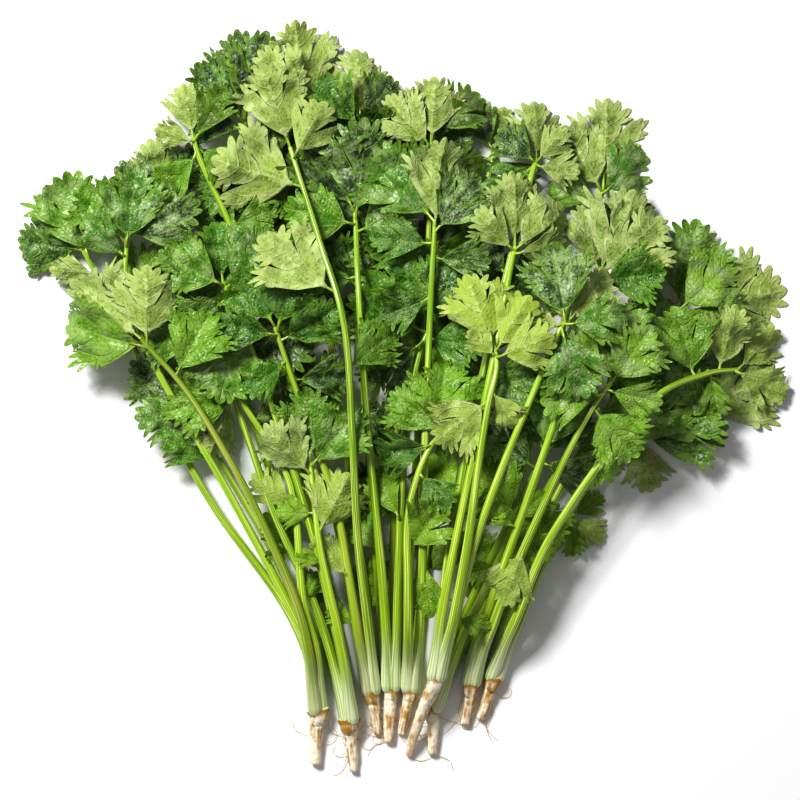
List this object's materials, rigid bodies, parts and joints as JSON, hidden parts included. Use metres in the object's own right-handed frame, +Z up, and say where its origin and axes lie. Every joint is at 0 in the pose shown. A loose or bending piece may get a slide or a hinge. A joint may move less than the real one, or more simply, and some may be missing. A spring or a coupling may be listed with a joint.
{
  "type": "coriander bunch",
  "caption": "Bunch of fresh coriander lying on a surface: small plants with crowns and trimmed taproots, and slender stems that fan out to lobed, toothed leaflets.",
  "frame": {"origin": "on the surface that the bunch lies on, under the middle of what it covers", "axes": "+Z up from the surface, +Y from the roots towards the leaf tips, +X to the right seen from above with the leaves away from the viewer"},
  "size_m": [0.3112, 0.3021, 0.0452],
  "materials": {
    "root": "matt, cream with brown blotches and a brown ring at the crown",
    "leafy_stem": "satin, yellow-green stems and green leaflets with paler undersides",
    "stem": "satin, finely ribbed, yellow-green, pale near the crown",
    "leaf": "glossy green above, matt pale green below, with fine veins"
  },
  "bodies": {
    "root": {"taproot_a": "root", "taproot_b": "root", "taproot_c": "root", "taproot_d": "root", "taproot_e": "root", "taproot_f": "root", "taproot_g": "root", "taproot_h": "root", "taproot_i": "root", "leafy_stem_a1": "leafy_stem", "leafy_stem_a2": "leafy_stem", "leafy_stem_a3": "leafy_stem", "leafy_stem_a4": "leafy_stem", "leafy_stem_a5": "leafy_stem", "leafy_stem_b1": "leafy_stem", "leafy_stem_b2": "leafy_stem", "leafy_stem_b3": "leafy_stem", "leafy_stem_b4": "leafy_stem", "leafy_stem_b5": "leafy_stem", "leafy_stem_c1": "leafy_stem", "leafy_stem_c2": "leafy_stem", "leafy_stem_c3": "leafy_stem", "leafy_stem_c4": "leafy_stem", "leafy_stem_d1": "leafy_stem", "leafy_stem_d2": "leafy_stem", "leafy_stem_d3": "leafy_stem", "leafy_stem_d4": "leafy_stem", "leafy_stem_e1": "leafy_stem", "leafy_stem_e2": "leafy_stem", "leafy_stem_e3": "leafy_stem", "leafy_stem_e4": "leafy_stem", "leafy_stem_f1": "leafy_stem", "leafy_stem_f2": "leafy_stem", "leafy_stem_f3": "leafy_stem", "leafy_stem_g1": "leafy_stem", "leafy_stem_g2": "leafy_stem", "leafy_stem_g3": "leafy_stem", "leafy_stem_g4": "leafy_stem", "leafy_stem_h1": "leafy_stem", "leafy_stem_h2": "leafy_stem", "leafy_stem_h3": "leafy_stem", "leafy_stem_h4": "leafy_stem", "leafy_stem_i1": "leafy_stem", "leafy_stem_i2": "leafy_stem", "leafy_stem_i3": "leafy_stem"}
  },
  "joints": []
}
